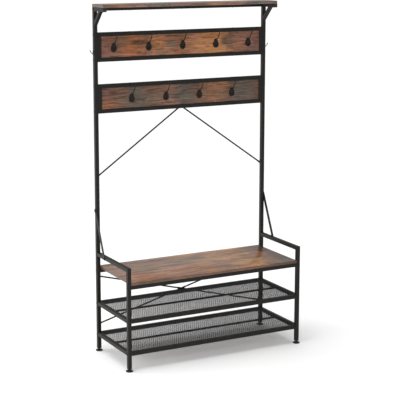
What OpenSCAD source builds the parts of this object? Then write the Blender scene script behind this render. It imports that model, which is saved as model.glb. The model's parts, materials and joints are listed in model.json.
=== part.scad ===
// Hall tree: a shoe bench with two mesh shelves, two hook panels and a hat shelf.
// +Z up, +X to the right, front towards -Y. The origin is on the floor under the middle of the frame.
// All sizes are in millimetres.

/* [Overall] */
// Width over the outer faces of the posts
overall_width = 1000; // [800:10:1200]
// Depth over the outer faces of the posts
overall_depth = 394; // [350:2:450]
// Height of the top shelf's upper face
overall_height = 1800; // [1760:5:1900]

/* [Frame tube] */
// Side of the square steel tube
tube = 20; // [18:1:22]
// Wall of the square steel tube
tube_wall = 1.2; // [0.8:0.1:1.6]
// Outer corner radius of the tube
tube_corner = 2.5; // [1.5:0.5:3]
// Side of the tube of the two top shelf brackets, lighter than the frame's
bracket_tube = 18; // [12:1:18]

/* [Bench] */
// Underside of the lower shoe shelf
lower_shelf_z = 82; // [60:1:110]
// Underside of the upper shoe shelf
upper_shelf_z = 248; // [230:1:260]
// Underside of the rails that carry the seat
seat_rail_z = 421.5; // [410:0.5:440]
// Upper face of the armrests
armrest_z = 530; // [510:1:560]
// Thickness of every wooden board
board = 15; // [12:1:18]

/* [Hook panels] */
// Underside of the lower hook panel
lower_panel_z = 1249; // [1220:1:1260]
// Underside of the upper hook panel
upper_panel_z = 1510; // [1490:1:1520]
// Height of a hook panel over its frame
panel_height = 148; // [140:1:160]
// Distance between neighbouring hooks
hook_pitch = 196; // [150:1:200]

/* [Top shelf] */
// Depth of the top shelf from the back of the posts
top_shelf_depth = 134; // [125:1:160]
// Reach of a diagonal bracket along the shelf arm
bracket_reach = 74; // [60:1:80]

/* [Feet] */
// Diameter of a levelling foot
foot_d = 36; // [30:1:40]
// Clear height under a post
post_z = 16; // [14:1:20]

/* [Hidden] */

// Sides, front and back, for loops that mirror a piece
LEFT = -1;
RIGHT = 1;
FRONT = -1;
BACK = 1;

// Faces and centre lines of the frame
half_w = overall_width / 2;
half_d = overall_depth / 2;
inner_x = half_w - tube;
inner_y = half_d - tube;
post_x = half_w - tube / 2;
post_y = half_d - tube / 2;
bore = tube - 2 * tube_wall;
plug_gap = 0.1;

// Heights
top_board_z = overall_height - board;
top_rail_z = top_board_z - tube;
seat_board_z = seat_rail_z + tube;
post_split_z = 860;
joiner_length = 80;
shelf_zs = [lower_shelf_z, upper_shelf_z];
panel_zs = [lower_panel_z, upper_panel_z];

// Shelf mesh, and the square bar under it: the sheet lies just below the rails' rounded upper edges
centre_bar = 8;
mesh_sheet = 0.6;
mesh_level = tube - tube_corner - 0.1;
seat_gap = 1;

// Hook panels and hooks: hook_screw_at is the right screw's place on the plate, its twin is mirrored,
// and bag_arm_at is how far the short arm's centre lies in front of the panel and above the plate's middle
panel_recess = 3;
panel_face_y = inner_y + panel_recess;
hook_drop = 4;
plate_thick = 3;
plate_low_r = 17;
plate_low_z = -6.5;
plate_high_r = 11;
plate_high_z = 12;
hook_rows = [4, 5];
hook_xs = [for (count = hook_rows) [for (i = [0:count - 1]) (i - (count - 1) / 2) * hook_pitch]];
hook_zs = [for (z = panel_zs) z + panel_height / 2 - hook_drop];
hook_screw_at = [9.5, -4];
coat_arm_r = 130;
coat_arm_rise = [35, 70];
coat_wire = 5;
coat_arm_z = 13;
bag_arm_r = 10;
bag_wire = 6;
bag_arm_at = [12.3, -7];
bag_arm_start = -160;
bag_arm_sweep = 175;
ball_extra = 1.5;
side_hook_z = 1556;
side_arm_r = 28;
side_arm_rise = [20, 70];
side_hook_wire = 4;
side_plate = [12, 30, 2];
side_screw_rise = 7;
side_arm_drop = 5;

// Braces: rods with flattened ends on the frame's back, and a flat strip on each side.
// rod_off is how far a rod's axis lies behind the frame
rod_d = 8;
rod_gap = 0.1;
rod_off = rod_d / 2 + rod_gap;
tab = [12, 2.5];
tab_length = 18;
flat = [10, 2.5];
flat_length = 40;
flat_overlap = 2;
v_brace_post_z = 916;
v_brace_apex_z = lower_panel_z + tube / 2;
x_brace_zs = [139.5, 399.5];
side_brace_z = 749;
side_brace_reach = 105;
side_strip = [20, 2.5];

// Fasteners
bolt_r = 3;
bolt_length = 38;
bolt_hole_r = 3.3;
insert_length = 20;
insert_thread_r = 3.05;
small_bolt_r = 2.5;
small_bolt_length = 12;
small_hole_r = 2.6;
head_r = 5;
head_h = 2.5;
strip_head_r = 6;
strip_head_h = 3.5;
rivet_head_r = 4.5;
rivet_head_h = 1.4;
screw_r = 2;
screw_hole_r = 2.1;
screw_head_r = 3.5;
screw_head_h = 2;
screw_bite = 11;
seat_screw_xs = [-300, 0, 300];
panel_screw_xs = [-300, 300];
arm_screw_y = 80;

// Levelling feet
foot_disc_h = 6;
foot_cone_h = 3;
foot_neck_r = 6;
stud_r = 3.95;
stud_top = 40;
insert_bore_r = 4;
insert_flange = 2;
insert_height = 22;

// Colours
STEEL = "#2d2d2b";
WOOD = "#7a5a46";
MESH = "#4a4a48";
ZINC = "#9a9a98";
PLASTIC = "#1c1c1c";

// ---------- shared shapes ----------

// Square with round corners, centred
module rounded_square(side, r) {
    square([side - 2 * r, side], center = true);
    square([side, side - 2 * r], center = true);
    for (x = [-1, 1], y = [-1, 1])
        translate([x * (side / 2 - r), y * (side / 2 - r)])
            circle(r = r, $fn = 32);
}

// Strip along +Y with round ends, whose end circles are centred at 0 and length
module oblong(width, length) {
    translate([-width / 2, 0]) square([width, length]);
    for (end = [0, length])
        translate([0, end]) circle(d = width, $fn = 40);
}

// Hollow square tube along +Z, centred on its axis
module square_tube(length, side = tube) {
    linear_extrude(length)
        difference() {
            rounded_square(side, tube_corner);
            rounded_square(side - 2 * tube_wall, tube_corner - tube_wall);
        }
}

// Tube along +X, whose lower front corner line starts at [x, y, z]
module tube_x(from, length) {
    translate(from + [0, tube / 2, tube / 2])
        rotate([90, 0, 90])
            square_tube(length);
}

// Tube along +Y, whose lower corner line starts at [x, y, z]
module tube_y(from, length) {
    translate(from + [tube / 2, 0, tube / 2])
        rotate([-90, 0, 0])
            square_tube(length);
}

// Cylinder along X, Y or Z through a point, used for holes and shanks
module rod_x(at, r, length) {
    translate(at) rotate([0, 90, 0]) cylinder(r = r, h = length, center = true, $fn = 40);
}

module rod_y(at, r, length) {
    translate(at) rotate([90, 0, 0]) cylinder(r = r, h = length, center = true, $fn = 40);
}

module rod_z(at, r, length) {
    translate(at) cylinder(r = r, h = length, center = true, $fn = 40);
}

// Wire bent to an arc in the Y-Z plane: angles are measured from the front (-Y) towards +Z
module wire_arc(radius, wire, start, sweep) {
    rotate([90, 0, -90])
        rotate([0, 0, start])
            rotate_extrude(angle = sweep, $fn = 64)
                translate([radius, 0])
                    circle(d = wire, $fn = 24);
}

// ---------- posts and armrests ----------

// X bolts run through every post where a cross rail meets it
module post_bolt_holes(side, zs, y) {
    for (z = zs)
        rod_x([side * post_x, y, z + tube / 2], bolt_hole_r, 2 * tube);
}

// Wedge above the 45 degree mitre between a front post and its armrest
module mitre_wedge(side) {
    translate([side * post_x, -half_d, armrest_z])
        rotate([-45, 0, 0])
            translate([0, 0, overall_depth])
                cube([2 * tube, 4 * overall_depth, 2 * overall_depth], center = true);
}

module front_post(side) {
    color(STEEL)
        difference() {
            translate([side * post_x, -post_y, post_z])
                square_tube(armrest_z - post_z);
            mitre_wedge(side);
            post_bolt_holes(side, [lower_shelf_z, upper_shelf_z, seat_rail_z], -post_y);
        }
}

module armrest(side) {
    color(STEEL)
        difference() {
            intersection() {
                translate([side * post_x - tube / 2, 0, 0])
                    tube_y([0, -half_d, armrest_z - tube], overall_depth - tube);
                mitre_wedge(side);
            }
            rod_x([side * half_w, post_y - side_brace_reach, armrest_z - tube / 2], small_hole_r, tube);
        }
}

module back_post_lower(side) {
    color(STEEL)
        difference() {
            translate([side * post_x, post_y, post_z])
                square_tube(post_split_z - post_z);
            post_bolt_holes(side, [lower_shelf_z, upper_shelf_z, seat_rail_z], post_y);
            for (z = x_brace_zs)
                rod_y([side * post_x, half_d, z], small_hole_r, tube);
            rod_x([side * half_w, post_y, side_brace_z], small_hole_r, tube);
        }
}

module back_post_upper(side) {
    panel_rails = [for (z = panel_zs) each [z, z + panel_height - tube]];
    color(STEEL)
        difference() {
            translate([side * post_x, post_y, post_split_z])
                square_tube(top_board_z - post_split_z);
            post_bolt_holes(side, concat(panel_rails, [top_rail_z]), post_y);
            rod_y([side * post_x, half_d, v_brace_post_z], small_hole_r, tube);
            rod_x([side * half_w, post_y, side_hook_z + side_screw_rise], screw_hole_r, tube);
        }
}

// A sleeve inside each back post that joins its two halves
module post_joiners() {
    color(ZINC)
        for (side = [LEFT, RIGHT])
            translate([side * post_x, post_y, post_split_z - joiner_length / 2])
                square_tube(joiner_length, bore - 2 * plug_gap);
}

// ---------- shoe shelves and seat ----------

// Rail along the front or back, between the two posts
module cross_rail(row, z) {
    color(STEEL)
        tube_x([-inner_x, row * post_y - tube / 2, z], 2 * inner_x);
}

// Rail along a side, between the front and back post
module side_rail(side, z) {
    color(STEEL)
        tube_y([side * post_x - tube / 2, -inner_y, z], 2 * inner_y);
}

module shelf_centre_bar(z) {
    color(STEEL)
        translate([-inner_x, -centre_bar / 2, z + mesh_level - centre_bar])
            cube([2 * inner_x, centre_bar, centre_bar]);
}

// Plain sheet with the outline and about the weight of the expanded mesh
module shelf_mesh(z) {
    color(MESH)
        translate([-inner_x, -inner_y, z + mesh_level])
            cube([2 * inner_x, 2 * inner_y, mesh_sheet]);
}

module seat_rail(row) {
    color(STEEL)
        difference() {
            tube_x([-inner_x, row * post_y - tube / 2, seat_rail_z], 2 * inner_x);
            for (x = seat_screw_xs)
                rod_z([x, row * post_y, seat_rail_z + tube / 2], screw_hole_r, 2 * tube);
        }
}

module seat_board() {
    color(WOOD)
        difference() {
            translate([seat_gap - inner_x, -half_d, seat_board_z])
                cube([2 * (inner_x - seat_gap), overall_depth, board]);
            for (x = seat_screw_xs, row = [FRONT, BACK])
                rod_z([x, row * post_y, seat_board_z], screw_hole_r, 2 * (screw_bite + 1));
        }
}

// ---------- top shelf ----------

module top_shelf_board() {
    color(WOOD)
        difference() {
            translate([-half_w, half_d - top_shelf_depth, top_board_z])
                cube([overall_width, top_shelf_depth, board]);
            for (x = seat_screw_xs)
                rod_z([x, post_y, top_board_z], screw_hole_r, 2 * (screw_bite + 1));
            for (side = [LEFT, RIGHT])
                rod_z([side * post_x, arm_screw_y, top_board_z], screw_hole_r, 2 * (screw_bite + 1));
        }
}

module top_shelf_back_rail() {
    color(STEEL)
        difference() {
            tube_x([-inner_x, inner_y, top_rail_z], 2 * inner_x);
            for (x = seat_screw_xs)
                rod_z([x, post_y, top_rail_z + tube / 2], screw_hole_r, 2 * tube);
        }
}

module shelf_arm(side) {
    color(STEEL)
        difference() {
            tube_y([side * post_x - tube / 2, half_d - top_shelf_depth, top_rail_z], top_shelf_depth - tube);
            rod_z([side * post_x, arm_screw_y, top_rail_z + tube / 2], screw_hole_r, 2 * tube);
        }
}

// Diagonal tube from the post's front face up to the arm's underside
module shelf_bracket(side) {
    long = 3 * bracket_reach;
    color(STEEL)
        intersection() {
            translate([side * post_x, inner_y - bracket_reach / 2, top_rail_z - bracket_reach / 2])
                rotate([45, 0, 0])
                    translate([0, bracket_tube / 2, -long / 2])
                        square_tube(long, bracket_tube);
            translate([side * post_x - tube / 2, inner_y - 2 * bracket_reach, top_rail_z - 2 * bracket_reach])
                cube([tube, 2 * bracket_reach, 2 * bracket_reach]);
        }
}

// ---------- hook panels ----------

// Two long rails with two short stiles between them, welded to one ring
module panel_frame(z) {
    stile = panel_height - 2 * tube;
    color(STEEL)
        difference() {
            union() {
                for (rail_z = [z, z + panel_height - tube])
                    tube_x([-inner_x, inner_y, rail_z], 2 * inner_x);
                for (side = [LEFT, RIGHT])
                    translate([side * (inner_x - tube / 2), post_y, z + tube])
                        square_tube(stile);
            }
            for (x = panel_screw_xs, rail_z = [z, z + panel_height - tube])
                rod_z([x, panel_face_y + board / 2, rail_z + tube / 2], screw_hole_r, 2 * tube);
        }
}

module lower_panel_frame() {
    color(STEEL)
        difference() {
            panel_frame(lower_panel_z);
            rod_y([0, half_d, v_brace_apex_z], small_hole_r, tube);
        }
}

module panel_board(row) {
    z = panel_zs[row];
    length = 2 * (inner_x - tube);
    color(WOOD)
        difference() {
            translate([-length / 2, panel_face_y, z + tube])
                cube([length, board, panel_height - 2 * tube]);
            for (x = hook_xs[row], dx = [-1, 1])
                rod_y([x + dx * hook_screw_at[0], panel_face_y, hook_zs[row] + hook_screw_at[1]],
                    screw_hole_r, 2 * (screw_bite + 1));
            for (x = panel_screw_xs, edge = [z + tube, z + panel_height - tube])
                rod_z([x, panel_face_y + board / 2, edge], screw_hole_r, 2 * (screw_bite + 1));
        }
}

// ---------- hooks ----------

// Arm that leaves the plane y = 0 at the origin and curves up as it comes forward, with a ball at its tip.
// rise holds its slope in degrees at the root and at the tip
module rising_arm(radius, wire, rise) {
    reach = radius * (sin(rise[1]) - sin(rise[0]));
    lift = radius * (cos(rise[0]) - cos(rise[1]));
    translate([0, radius * sin(rise[0]), radius * cos(rise[0])])
        wire_arc(radius, wire, rise[0] - 90, rise[1] - rise[0]);
    translate([0, -reach, lift])
        sphere(d = wire + ball_extra, $fn = 32);
}

// Egg-shaped plate in the X-Z plane, wide at the bottom, with two screw holes side by side
module hook_plate() {
    lean = asin((plate_low_r - plate_high_r) / (plate_high_z - plate_low_z));
    low = [plate_low_r * cos(lean), plate_low_z + plate_low_r * sin(lean)];
    high = [plate_high_r * cos(lean), plate_high_z + plate_high_r * sin(lean)];
    rotate([90, 0, 0])
        linear_extrude(plate_thick)
            difference() {
                union() {
                    translate([0, plate_low_z]) circle(r = plate_low_r, $fn = 64);
                    translate([0, plate_high_z]) circle(r = plate_high_r, $fn = 64);
                    polygon([[-low[0], low[1]], low, high, [-high[0], high[1]]]);
                }
                for (x = [-1, 1])
                    translate([x * hook_screw_at[0], hook_screw_at[1]]) circle(r = screw_hole_r, $fn = 32);
            }
}

// Long coat arm that rises to the front, and short bag arm below it
module coat_hook() {
    color(STEEL) {
        hook_plate();
        translate([0, -plate_thick / 2, coat_arm_z])
            rising_arm(coat_arm_r, coat_wire, coat_arm_rise);
        translate([0, -bag_arm_at[0], bag_arm_at[1]]) {
            wire_arc(bag_arm_r, bag_wire, bag_arm_start, bag_arm_sweep);
            rotate([-bag_arm_start - bag_arm_sweep, 0, 0])
                translate([0, -bag_arm_r, 0])
                    sphere(d = bag_wire + ball_extra, $fn = 32);
        }
    }
}

module row_hook(row, index) {
    translate([hook_xs[row][index], panel_face_y, hook_zs[row]])
        coat_hook();
}

// Oblong plate in the X-Z plane with one screw hole above its middle
module side_hook_plate() {
    straight = side_plate[1] - side_plate[0];
    rotate([90, 0, 0])
        linear_extrude(side_plate[2])
            difference() {
                translate([0, -straight / 2]) oblong(side_plate[0], straight);
                translate([0, side_screw_rise]) circle(r = screw_hole_r, $fn = 32);
            }
}

// Small hook on the outer face of a back post
module side_hook(side) {
    color(STEEL)
        translate([side * half_w, post_y, side_hook_z])
            rotate([0, 0, side * 90]) {
                side_hook_plate();
                translate([0, -side_plate[2] / 2, -side_arm_drop])
                    rising_arm(side_arm_r, side_hook_wire, side_arm_rise);
            }
}

// ---------- braces ----------

// Flattened tab along +Z from the origin, its face at y = 0 and its hole near the far end
module rod_tab(length) {
    hole_z = length - tab[0] / 2;
    difference() {
        union() {
            translate([-tab[0] / 2, 0, 0]) cube([tab[0], tab[1], hole_z]);
            translate([0, 0, hole_z]) rotate([-90, 0, 0]) cylinder(d = tab[0], h = tab[1], $fn = 40);
        }
        rod_y([0, 0, hole_z], small_hole_r, 4 * tab[1]);
    }
}

// Rod along +Z, pressed flat at its middle with a hole. flat_side puts the flat in front of or behind its axis
module crossing_rod(length, flat_side) {
    straight = (length - flat_length) / 2;
    for (z = [0, length - straight])
        translate([0, 0, z]) cylinder(d = rod_d, h = straight, $fn = 32);
    difference() {
        translate([-flat[0] / 2, min(0, flat_side * flat[1]), straight - flat_overlap])
            cube([flat[0], flat[1], flat_length + 2 * flat_overlap]);
        rod_y([0, 0, length / 2], small_hole_r, 2 * rod_d);
    }
}

// Rod on the back of the frame between two bolts at [x, z], with a tab at each end.
// lift holds how far each tab stands off the frame
module back_rod(from, to, lift = [0, 0], flat_side = 0) {
    span = norm(to - from);
    lean = atan2(to[0] - from[0], to[1] - from[1]);
    color(STEEL)
        translate([from[0], half_d, from[1]])
            rotate([0, lean, 0]) {
                translate([0, rod_off, tab_length])
                    if (flat_side == 0)
                        cylinder(d = rod_d, h = span - 2 * tab_length, $fn = 32);
                    else
                        crossing_rod(span - 2 * tab_length, flat_side);
                for (end = [0, 1])
                    translate([0, lift[end], end * span])
                        rotate([0, end * 180, 0])
                            translate([0, 0, tab_length + tab[0] / 2])
                                rotate([0, 180, 0])
                                    rod_tab(tab_length + tab[0]);
            }
}

// From a back post up to the middle of the lower hook panel, where the right rod's tab laps over the left one's
module v_brace(side) {
    back_rod([side * post_x, v_brace_post_z], [0, v_brace_apex_z], [0, side == RIGHT ? tab[1] : 0]);
}

// Long rod across the back, from post to post
module x_brace(rising) {
    zs = rising ? x_brace_zs : [x_brace_zs[1], x_brace_zs[0]];
    back_rod([-post_x, zs[0]], [post_x, zs[1]], flat_side = rising ? FRONT : BACK);
}

// Flat strip on the outer face, from the back post down to the armrest
module side_brace(side) {
    drop = side_brace_z - (armrest_z - tube / 2);
    span = norm([side_brace_reach, drop]);
    color(STEEL)
        mirror([side == LEFT ? 1 : 0, 0, 0])
            translate([half_w, post_y, side_brace_z])
                rotate([180 - atan2(side_brace_reach, drop), 0, 0])
                    rotate([90, 0, 90])
                        linear_extrude(side_strip[1])
                            difference() {
                                oblong(side_strip[0], span);
                                for (end = [0, span])
                                    translate([0, end]) circle(r = small_hole_r, $fn = 32);
                            }
}

// ---------- feet ----------

module foot(side, row) {
    color(PLASTIC)
        translate([side * post_x, row * post_y, 0]) {
            cylinder(d = foot_d, h = foot_disc_h, $fn = 64);
            translate([0, 0, foot_disc_h])
                cylinder(r1 = foot_d / 2, r2 = foot_neck_r, h = foot_cone_h, $fn = 64);
            cylinder(r = stud_r, h = stud_top, $fn = 48);
        }
}

// Plug with a flange under the post and a bore for the foot's stud
module foot_inserts() {
    color(PLASTIC)
        for (side = [LEFT, RIGHT], row = [FRONT, BACK])
            translate([side * post_x, row * post_y, post_z])
                difference() {
                    union() {
                        linear_extrude(insert_height)
                            rounded_square(bore - 2 * plug_gap, tube_corner - tube_wall);
                        translate([0, 0, -insert_flange])
                            linear_extrude(insert_flange)
                                rounded_square(tube, tube_corner);
                    }
                    translate([0, 0, -insert_flange - 1])
                        cylinder(r = insert_bore_r, h = insert_height + insert_flange + 2, $fn = 48);
                }
}

// ---------- fasteners ----------

// Bolt along +Z: its head is below z = 0 and its shank above
module bolt(r, length, head = head_r, head_height = head_h) {
    translate([0, 0, -head_height]) cylinder(r = head, h = head_height, $fn = 40);
    cylinder(r = r, h = length, $fn = 32);
}

// Places its child on the outer face of a post, pointing inwards
module from_side(side, y, z) {
    translate([side * half_w, y, z])
        rotate([0, -side * 90, 0])
            children();
}

// Places its child behind the frame by off, pointing forwards
module from_back(x, off, z) {
    translate([x, half_d + off, z])
        rotate([90, 0, 0])
            children();
}

// Every cross rail's height, with the Y of its centre line
rail_ends = concat(
    [for (z = concat(shelf_zs, [seat_rail_z]), row = [FRONT, BACK]) [row * post_y, z + tube / 2]],
    [for (z = panel_zs, dz = [0, panel_height - tube]) [post_y, z + dz + tube / 2]],
    [[post_y, top_rail_z + tube / 2]]
);

module frame_bolts() {
    color(ZINC) {
        for (side = [LEFT, RIGHT], at = rail_ends)
            from_side(side, at[0], at[1])
                bolt(bolt_r, bolt_length);
        for (side = [LEFT, RIGHT]) {
            for (z = concat(x_brace_zs, [v_brace_post_z]))
                from_back(side * post_x, tab[1], z)
                    bolt(small_bolt_r, small_bolt_length);
            translate([side * side_strip[1], 0, 0])
                for (at = [[post_y, side_brace_z], [post_y - side_brace_reach, armrest_z - tube / 2]])
                    from_side(side, at[0], at[1])
                        bolt(small_bolt_r, small_bolt_length, strip_head_r, strip_head_h);
        }
        from_back(0, 2 * tab[1], v_brace_apex_z)
            bolt(small_bolt_r, small_bolt_length);
        from_back(0, rod_off + flat[1], (x_brace_zs[0] + x_brace_zs[1]) / 2)
            bolt(small_bolt_r, 2 * flat[1], rivet_head_r, rivet_head_h);
    }
}

// Threaded plug in each end of a cross rail
module rail_inserts() {
    color(ZINC)
        for (side = [LEFT, RIGHT], at = rail_ends)
            translate([side * (inner_x - insert_length / 2), at[0], at[1]])
                rotate([0, 90, 0])
                    difference() {
                        translate([0, 0, -insert_length / 2])
                            linear_extrude(insert_length)
                                rounded_square(bore - 2 * plug_gap, tube_corner - tube_wall);
                        cylinder(r = insert_thread_r, h = 2 * insert_length, center = true, $fn = 40);
                    }
}

module wood_screw(length) {
    bolt(screw_r, length, screw_head_r, screw_head_h);
}

module hook_screws() {
    color(ZINC) {
        for (row = [0, 1], x = hook_xs[row], dx = [-1, 1])
            translate([x + dx * hook_screw_at[0], panel_face_y - plate_thick,
                       hook_zs[row] + hook_screw_at[1]])
                rotate([-90, 0, 0])
                    wood_screw(plate_thick + screw_bite);
        for (side = [LEFT, RIGHT])
            translate([side * side_plate[2], 0, 0])
                from_side(side, post_y, side_hook_z + side_screw_rise)
                    wood_screw(screw_bite);
    }
}

module board_screws() {
    color(ZINC) {
        for (x = seat_screw_xs) {
            for (row = [FRONT, BACK])
                translate([x, row * post_y, seat_rail_z])
                    wood_screw(tube + screw_bite);
            translate([x, post_y, top_rail_z])
                wood_screw(tube + screw_bite);
        }
        for (side = [LEFT, RIGHT])
            translate([side * post_x, arm_screw_y, top_rail_z])
                wood_screw(tube + screw_bite);
        for (x = panel_screw_xs, z = panel_zs) {
            translate([x, panel_face_y + board / 2, z])
                wood_screw(tube + screw_bite);
            translate([x, panel_face_y + board / 2, z + panel_height])
                rotate([180, 0, 0])
                    wood_screw(tube + screw_bite);
        }
    }
}

front_post(LEFT);  // left_front_post
front_post(RIGHT);  // right_front_post
back_post_lower(LEFT);  // left_back_post_lower
back_post_lower(RIGHT);  // right_back_post_lower
back_post_upper(LEFT);  // left_back_post_upper
back_post_upper(RIGHT);  // right_back_post_upper
post_joiners();
armrest(LEFT);  // left_armrest
armrest(RIGHT);  // right_armrest
side_rail(LEFT, lower_shelf_z);  // lower_shelf_left_rail
side_rail(RIGHT, lower_shelf_z);  // lower_shelf_right_rail
cross_rail(FRONT, lower_shelf_z);  // lower_shelf_front_rail
cross_rail(BACK, lower_shelf_z);  // lower_shelf_back_rail
shelf_centre_bar(lower_shelf_z);  // lower_shelf_centre_bar
shelf_mesh(lower_shelf_z);  // lower_shelf_mesh
side_rail(LEFT, upper_shelf_z);  // upper_shelf_left_rail
side_rail(RIGHT, upper_shelf_z);  // upper_shelf_right_rail
cross_rail(FRONT, upper_shelf_z);  // upper_shelf_front_rail
cross_rail(BACK, upper_shelf_z);  // upper_shelf_back_rail
shelf_centre_bar(upper_shelf_z);  // upper_shelf_centre_bar
shelf_mesh(upper_shelf_z);  // upper_shelf_mesh
seat_rail(FRONT);  // seat_front_rail
seat_rail(BACK);  // seat_back_rail
seat_board();
top_shelf_board();
top_shelf_back_rail();
shelf_arm(LEFT);  // left_shelf_arm
shelf_arm(RIGHT);  // right_shelf_arm
shelf_bracket(LEFT);  // left_shelf_bracket
shelf_bracket(RIGHT);  // right_shelf_bracket
panel_frame(upper_panel_z);  // upper_panel_frame
panel_board(1);  // upper_panel_board
lower_panel_frame();
panel_board(0);  // lower_panel_board
row_hook(1, 0);  // upper_hook_1
row_hook(1, 1);  // upper_hook_2
row_hook(1, 2);  // upper_hook_3
row_hook(1, 3);  // upper_hook_4
row_hook(1, 4);  // upper_hook_5
row_hook(0, 0);  // lower_hook_1
row_hook(0, 1);  // lower_hook_2
row_hook(0, 2);  // lower_hook_3
row_hook(0, 3);  // lower_hook_4
side_hook(LEFT);  // left_side_hook
side_hook(RIGHT);  // right_side_hook
v_brace(LEFT);  // left_v_brace
v_brace(RIGHT);  // right_v_brace
x_brace(true);  // rising_x_brace
x_brace(false);  // falling_x_brace
side_brace(LEFT);  // left_side_brace
side_brace(RIGHT);  // right_side_brace
foot(LEFT, FRONT);  // left_front_foot
foot(RIGHT, FRONT);  // right_front_foot
foot(LEFT, BACK);  // left_back_foot
foot(RIGHT, BACK);  // right_back_foot
foot_inserts();
frame_bolts();
rail_inserts();
hook_screws();
board_screws();
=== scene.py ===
"""Hall tree with hooks: the finished looks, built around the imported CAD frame.

Everything is in metres in the frame's own axes: +X right, front towards -Y, +Z up.
"""

import json
import math
import random

import bpy
from mathutils import Matrix, Vector


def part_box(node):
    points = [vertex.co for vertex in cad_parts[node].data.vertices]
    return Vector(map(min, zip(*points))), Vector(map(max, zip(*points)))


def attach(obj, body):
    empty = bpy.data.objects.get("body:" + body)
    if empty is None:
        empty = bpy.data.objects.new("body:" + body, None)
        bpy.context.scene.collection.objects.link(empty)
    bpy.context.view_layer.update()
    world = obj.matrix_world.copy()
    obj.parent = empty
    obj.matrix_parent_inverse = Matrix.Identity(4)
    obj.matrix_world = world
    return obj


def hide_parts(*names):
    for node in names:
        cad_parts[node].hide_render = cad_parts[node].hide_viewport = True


MM = 0.001
WHITE = (1, 1, 1, 1)
X_AXIS, Y_AXIS, Z_AXIS = Vector((1, 0, 0)), Vector((0, 1, 0)), Vector((0, 0, 1))

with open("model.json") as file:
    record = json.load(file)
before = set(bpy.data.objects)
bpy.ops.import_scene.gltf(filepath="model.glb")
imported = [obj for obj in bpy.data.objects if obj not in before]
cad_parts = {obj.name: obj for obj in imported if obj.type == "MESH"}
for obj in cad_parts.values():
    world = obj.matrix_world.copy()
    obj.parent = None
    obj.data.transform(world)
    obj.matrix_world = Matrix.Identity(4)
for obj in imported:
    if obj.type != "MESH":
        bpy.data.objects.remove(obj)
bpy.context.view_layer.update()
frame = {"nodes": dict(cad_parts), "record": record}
nodes = frame["nodes"]
slot_of = {part["node"]: part["material_slot"] for part in frame["record"]["subparts"]}
scene = bpy.context.scene


# ---------- camera, light and floor ----------

CAMERA_PLACE = (-2.994, -5.593, 2.100)
CAMERA_DOWN = math.radians(10.38)
CAMERA_TURN = math.radians(-27.71)
CAMERA_LENS = 112.7
CAMERA_SHIFT = (0.027, -0.07)

WORLD_STRENGTH = 0.5
FLOOR_REACH = 60
FLOOR_WHITE = (0.9, 0.9, 0.9, 1)
FLOOR_GLOW = 0.12


def add_camera():
    """The camera stands to the left of the front and above it."""
    data = bpy.data.cameras.new("camera")
    data.sensor_width = 36
    data.lens = CAMERA_LENS
    data.shift_x, data.shift_y = CAMERA_SHIFT
    data.clip_end = 100
    camera = bpy.data.objects.new("camera", data)
    camera.location = CAMERA_PLACE
    camera.rotation_euler = (math.pi / 2 - CAMERA_DOWN, 0, CAMERA_TURN)
    scene.collection.objects.link(camera)
    scene.camera = camera


def add_light(kind, name, place, aim, power, **settings):
    """A light at place that points at aim."""
    data = bpy.data.lights.new(name, kind)
    data.energy = power
    for key, value in settings.items():
        setattr(data, key, value)
    light = bpy.data.objects.new(name, data)
    light.location = place
    light.rotation_euler = (Vector(aim) - Vector(place)).to_track_quat("-Z", "Y").to_euler()
    scene.collection.objects.link(light)


def add_studio():
    """White backdrop, soft light from above and from the left, and a plain white floor."""
    world = bpy.data.worlds.new("studio")
    world.use_nodes = True
    tree = world.node_tree
    background = tree.nodes["Background"]
    background.inputs["Color"].default_value = WHITE
    background.inputs["Strength"].default_value = WORLD_STRENGTH
    backdrop = tree.nodes.new("ShaderNodeBackground")
    backdrop.inputs["Color"].default_value = WHITE
    seen = tree.nodes.new("ShaderNodeLightPath")
    either = tree.nodes.new("ShaderNodeMixShader")
    tree.links.new(seen.outputs["Is Camera Ray"], either.inputs["Fac"])
    tree.links.new(background.outputs["Background"], either.inputs[1])
    tree.links.new(backdrop.outputs["Background"], either.inputs[2])
    tree.links.new(either.outputs["Shader"], tree.nodes["World Output"].inputs["Surface"])
    scene.world = world
    scene.view_settings.view_transform = "Standard"

    add_light("SUN", "top_light", (-0.8, 0.0, 4), (0, 0, 0), 1.7, angle=math.radians(60))
    wide = dict(shape="RECTANGLE", size=5, size_y=2.6)
    add_light("AREA", "left_light", (-3.4, 1.2, 1.3), (0, 0.4, 0.8), 60, **wide)
    add_light("AREA", "low_front_light", (-2.2, -1.3, 0.7), (-0.4, -0.2, 0.3), 15, shape="SQUARE", size=0.9)

    data = bpy.data.meshes.new("floor")
    corners = [(x * FLOOR_REACH, y * FLOOR_REACH, 0) for x, y in ((-1, -1), (1, -1), (1, 1), (-1, 1))]
    data.from_pydata(corners, [], [(0, 1, 2, 3)])
    floor = bpy.data.objects.new("floor", data)
    scene.collection.objects.link(floor)
    paper = Shader("floor_paper")
    paper.set(Base_Color=FLOOR_WHITE, Roughness=0.95, Specular_IOR_Level=0.1)
    paper.set(Emission_Color=WHITE, Emission_Strength=FLOOR_GLOW)
    data.materials.append(paper.material)


# ---------- materials ----------


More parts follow.
